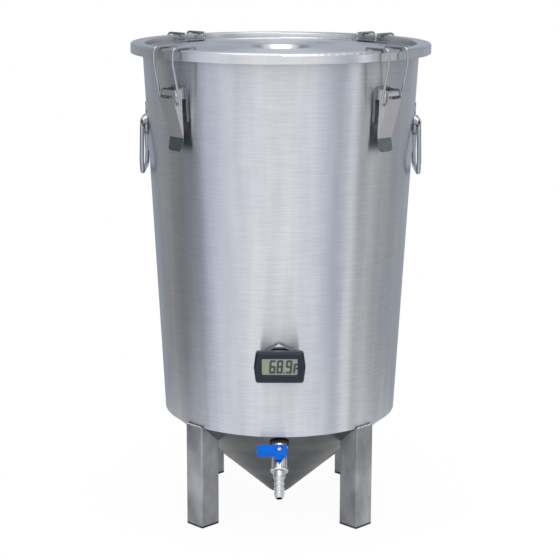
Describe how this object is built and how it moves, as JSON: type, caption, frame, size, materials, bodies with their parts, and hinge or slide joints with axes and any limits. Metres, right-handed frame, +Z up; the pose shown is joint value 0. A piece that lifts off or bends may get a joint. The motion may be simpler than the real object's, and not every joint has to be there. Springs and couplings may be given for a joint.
{
  "type": "conical fermenter",
  "caption": "Tapered steel fermenting bucket with a cone bottom on square legs, a clamped lid with a stopper hole, drop handles, a lever valve with racking arm and a thermometer.",
  "frame": {"origin": "on the floor under the vessel's axis", "axes": "+Z up along the vessel's axis; the valve and thermometer face -Y; the drop handles are on +X and -X"},
  "size_m": [0.3268, 0.3268, 0.5266],
  "materials": {
    "brushed_body": "brushed round the barrel",
    "dull_cone": "matt rolled sheet",
    "polished_lid": "satin pressed sheet",
    "silicone": "soft translucent",
    "black_seal": "moulded",
    "black_plastic": "moulded",
    "tube_steel": "drawn tube, dull",
    "pressed_steel": "tumbled pressing",
    "wire_steel": "drawn wire",
    "bright_steel": "polished",
    "turned_steel": "turned",
    "housing_plastic": "moulded, satin",
    "clear_window": "clear moulding",
    "display_glass": "liquid-crystal cell",
    "circuit_board": "solder mask",
    "cell_steel": "plated can",
    "white_plastic": "turned seat",
    "blue_plastic": "moulded"
  },
  "bodies": {
    "vessel": {"vessel_shell": "brushed_body", "cone_bottom": "dull_cone", "lid": "polished_lid", "lid_gasket": "silicone", "leg_front_right": "tube_steel", "leg_rear_right": "tube_steel", "leg_rear_left": "tube_steel", "leg_front_left": "tube_steel", "foot_front_right": "black_plastic", "foot_rear_right": "black_plastic", "foot_rear_left": "black_plastic", "foot_front_left": "black_plastic", "latch_bracket_front_right": "pressed_steel", "latch_bracket_rear_right": "pressed_steel", "latch_bracket_rear_left": "pressed_steel", "latch_bracket_front_left": "pressed_steel", "latch_pins": "bright_steel", "latch_spacers": "bright_steel", "handle_plate_right": "pressed_steel", "handle_plate_left": "pressed_steel", "thermowell": "turned_steel", "thermowell_nut": "turned_steel", "thermowell_seals": "silicone", "thermometer_back": "housing_plastic", "thermometer_bezel": "housing_plastic", "thermometer_lens": "clear_window", "thermometer_display": "display_glass", "thermometer_board": "circuit_board", "thermometer_cell": "cell_steel", "thermometer_probe": "turned_steel", "valve_seals": "black_seal"},
    "racking_valve": {"valve_body": "bright_steel", "valve_seats": "white_plastic", "valve_gland": "bright_steel", "valve_end_cap": "bright_steel", "hose_barb": "bright_steel", "valve_inner_nut": "bright_steel", "racking_arm": "turned_steel"},
    "valve_lever": {"valve_handle": "blue_plastic", "valve_screw": "bright_steel", "valve_stem": "bright_steel", "valve_ball": "bright_steel"},
    "latch_front_right": {"latch_lever_front_right": "pressed_steel"},
    "bail_front_right": {"latch_bail_front_right": "wire_steel"},
    "latch_rear_right": {"latch_lever_rear_right": "pressed_steel"},
    "bail_rear_right": {"latch_bail_rear_right": "wire_steel"},
    "latch_rear_left": {"latch_lever_rear_left": "pressed_steel"},
    "bail_rear_left": {"latch_bail_rear_left": "wire_steel"},
    "latch_front_left": {"latch_lever_front_left": "pressed_steel"},
    "bail_front_left": {"latch_bail_front_left": "wire_steel"},
    "handle_right": {"handle_ring_right": "wire_steel"},
    "handle_left": {"handle_ring_left": "wire_steel"}
  },
  "joints": [
    {"name": "latch_front_right_hinge", "type": "hinge", "parent": "vessel", "child": "latch_front_right", "pos_m": [0.11316, -0.11316, 0.4785], "axis": [-0.7071, -0.7071, 0], "range_deg": [0, 150]},
    {"name": "bail_front_right_hinge", "type": "hinge", "parent": "latch_front_right", "child": "bail_front_right", "pos_m": [0.11316, -0.11316, 0.468], "axis": [-0.7071, -0.7071, 0], "range_deg": [-142.5, 0]},
    {"name": "latch_rear_right_hinge", "type": "hinge", "parent": "vessel", "child": "latch_rear_right", "pos_m": [0.11316, 0.11316, 0.4785], "axis": [0.7071, -0.7071, 0], "range_deg": [0, 150]},
    {"name": "bail_rear_right_hinge", "type": "hinge", "parent": "latch_rear_right", "child": "bail_rear_right", "pos_m": [0.11316, 0.11316, 0.468], "axis": [0.7071, -0.7071, 0], "range_deg": [-142.5, 0]},
    {"name": "latch_rear_left_hinge", "type": "hinge", "parent": "vessel", "child": "latch_rear_left", "pos_m": [-0.11316, 0.11316, 0.4785], "axis": [0.7071, 0.7071, 0], "range_deg": [0, 150]},
    {"name": "bail_rear_left_hinge", "type": "hinge", "parent": "latch_rear_left", "child": "bail_rear_left", "pos_m": [-0.11316, 0.11316, 0.468], "axis": [0.7071, 0.7071, 0], "range_deg": [-142.5, 0]},
    {"name": "latch_front_left_hinge", "type": "hinge", "parent": "vessel", "child": "latch_front_left", "pos_m": [-0.11316, -0.11316, 0.4785], "axis": [-0.7071, 0.7071, 0], "range_deg": [0, 150]},
    {"name": "bail_front_left_hinge", "type": "hinge", "parent": "latch_front_left", "child": "bail_front_left", "pos_m": [-0.11316, -0.11316, 0.468], "axis": [-0.7071, 0.7071, 0], "range_deg": [-142.5, 0]},
    {"name": "handle_right_hinge", "type": "hinge", "parent": "vessel", "child": "handle_right", "pos_m": [0.15012, 0, 0.434], "axis": [0, -1, 0], "range_deg": [0, 160]},
    {"name": "handle_left_hinge", "type": "hinge", "parent": "vessel", "child": "handle_left", "pos_m": [-0.15012, 0, 0.434], "axis": [0, 1, 0], "range_deg": [0, 160]},
    {"name": "racking_valve_swivel", "type": "hinge", "parent": "vessel", "child": "racking_valve", "pos_m": [0, -0.1165, 0.10381], "axis": [0, -0.6626, -0.749], "range_deg": [-90, 90]},
    {"name": "valve_lever_hinge", "type": "hinge", "parent": "racking_valve", "child": "valve_lever", "pos_m": [0, -0.12684, 0.09213], "axis": [0, -0.749, 0.6626], "range_deg": [0, 90]}
  ],
  "couplings": [
    {"joint": "bail_front_right_hinge", "follows": "latch_front_right_hinge", "ratio": -0.95},
    {"joint": "bail_rear_right_hinge", "follows": "latch_rear_right_hinge", "ratio": -0.95},
    {"joint": "bail_rear_left_hinge", "follows": "latch_rear_left_hinge", "ratio": -0.95},
    {"joint": "bail_front_left_hinge", "follows": "latch_front_left_hinge", "ratio": -0.95}
  ]
}
